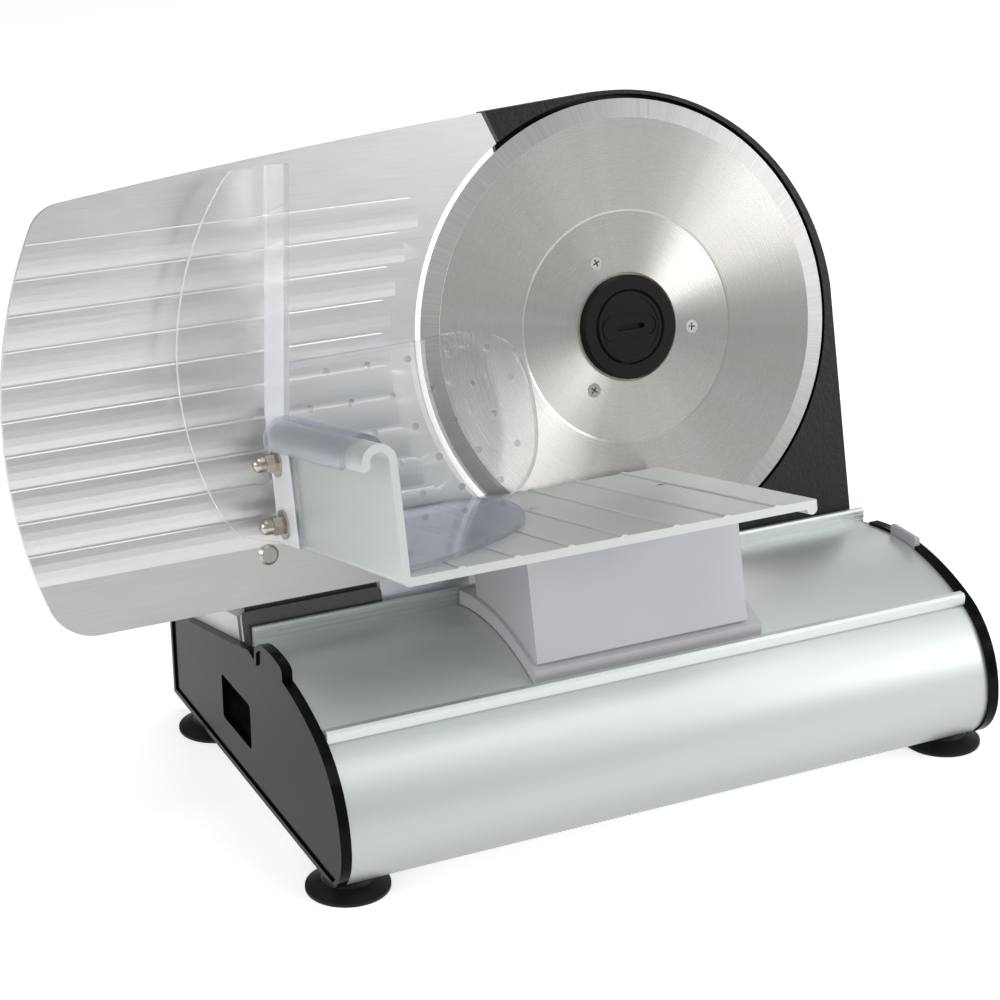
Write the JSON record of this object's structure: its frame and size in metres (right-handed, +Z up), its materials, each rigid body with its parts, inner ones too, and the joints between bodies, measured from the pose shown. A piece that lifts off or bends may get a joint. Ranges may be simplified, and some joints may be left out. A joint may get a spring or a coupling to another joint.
{
  "type": "deli meat slicer",
  "caption": "Domestic electric deli slicer with a tilted round blade, sliding food tray with clear guard and pusher, and an adjustable slice-thickness plate on an aluminium base",
  "frame": {"origin": "centre of the overall bounding box at floor level, under the feet", "axes": "+X along the base to the operator's right, +Y to the rear, +Z up; the blade faces the operator and leans back by 13.2 degrees"},
  "size_m": [0.4436, 0.2686, 0.3073],
  "materials": {
    "base_aluminium": "satin anodised",
    "steel_sheet": "zinc-plated sheet",
    "black_rubber": "moulded",
    "zinc_hardware": "zinc plated",
    "cap_plastic": "moulded, fine sheen",
    "button_grey": "moulded",
    "black_plastic": "moulded",
    "housing_black": "fine wrinkle coat",
    "blade_steel": "turned face, ground bevel",
    "gear_nylon": "moulded",
    "brass_parts": "machined",
    "motor_steel": "drawn steel",
    "rotor_iron": "laminated and lacquered",
    "plate_aluminium": "brushed",
    "bright_fixings": "nickel plated",
    "carrier_grey": "moulded",
    "rail_plastic": "moulded",
    "block_aluminium": "satin",
    "tray_aluminium": "satin anodised",
    "pedestal_plastic": "moulded",
    "clear_plastic": "clear",
    "pusher_plastic": "clear, faint blue tint"
  },
  "bodies": {
    "base": {"front_extrusion": "base_aluminium", "rear_extrusion": "base_aluminium", "base_plate": "steel_sheet", "foot_front_left": "black_rubber", "foot_front_right": "black_rubber", "foot_rear_left": "black_rubber", "foot_rear_right": "black_rubber", "foot_nuts": "zinc_hardware", "left_end_cap": "cap_plastic", "right_end_cap": "cap_plastic", "button_spring": "zinc_hardware", "power_switch": "black_plastic", "switch_bracket": "steel_sheet", "blade_guard": "housing_black", "blade_axle": "zinc_hardware", "axle_bracket": "steel_sheet", "motor_can": "motor_steel", "motor_bearings": "motor_steel", "bearing_block": "motor_steel", "motor_clamp": "steel_sheet", "motor_cover": "housing_black", "cover_screws": "zinc_hardware", "cord_gland": "black_plastic", "guide_rails": "rail_plastic", "guide_block": "block_aluminium", "screw_post": "steel_sheet"},
    "carriage": {"carriage_tray": "tray_aluminium", "tray_screws": "zinc_hardware", "pedestal": "pedestal_plastic", "glide_pads": "rail_plastic", "thumb_guard": "clear_plastic", "guard_bolts": "bright_fixings", "guard_washers": "bright_fixings", "guard_nuts": "bright_fixings"},
    "pusher": {"food_pusher": "pusher_plastic"},
    "plate": {"thickness_plate": "plate_aluminium", "plate_rivets": "bright_fixings", "plate_bracket": "housing_black", "carrier_cover": "carrier_grey", "plate_carrier": "carrier_grey", "screw_nut": "brass_parts"},
    "adjuster": {"lead_screw": "zinc_hardware", "screw_clips": "zinc_hardware", "thickness_knob": "black_plastic"},
    "blade_unit": {"blade": "blade_steel", "blade_gear": "gear_nylon", "blade_screws": "zinc_hardware", "hub_ring": "black_plastic", "gear_bush": "brass_parts"},
    "hub_lock": {"hub_lock": "black_plastic"},
    "worm_unit": {"worm_shaft": "motor_steel", "armature": "rotor_iron"},
    "button": {"power_button": "button_grey"}
  },
  "joints": [
    {"name": "carriage_slide", "type": "slide", "parent": "base", "child": "carriage", "axis": [1, 0, 0], "range_m": [-0.1, 0.1]},
    {"name": "pusher_slide", "type": "slide", "parent": "carriage", "child": "pusher", "axis": [0, -0.9736, 0.2284], "range_m": [0, 0.07]},
    {"name": "plate_slide", "type": "slide", "parent": "base", "child": "plate", "axis": [0, 0.9736, -0.2284], "range_m": [0, 0.015]},
    {"name": "knob_turn", "type": "hinge", "parent": "base", "child": "adjuster", "pos_m": [-0.08858, 0.12386, 0.0597], "axis": [0, -0.9736, 0.2284], "range_deg": [0, 331]},
    {"name": "blade_spin", "type": "hinge", "parent": "base", "child": "blade_unit", "pos_m": [0.08842, 0.02762, 0.1968], "axis": [0, -0.9736, 0.2284], "continuous": true},
    {"name": "worm_spin", "type": "hinge", "parent": "base", "child": "worm_unit", "pos_m": [0.13617, 0.06851, 0.18721], "axis": [0, 0.2284, 0.9736], "continuous": true},
    {"name": "hub_lock_turn", "type": "hinge", "parent": "blade_unit", "child": "hub_lock", "pos_m": [0.08842, 0.02762, 0.1968], "axis": [0, -0.9736, 0.2284], "range_deg": [0, 90]},
    {"name": "button_press", "type": "slide", "parent": "base", "child": "button", "axis": [0, 0, -1], "range_m": [0, 0.0025], "stiffness_N_per_m": 800, "springref_m": -0.001, "deforming": ["button_spring"]}
  ],
  "couplings": [
    {"joint": "knob_turn", "follows": "plate_slide", "rad_per_m": 383.97},
    {"joint": "worm_spin", "follows": "blade_spin", "ratio": -40}
  ]
}
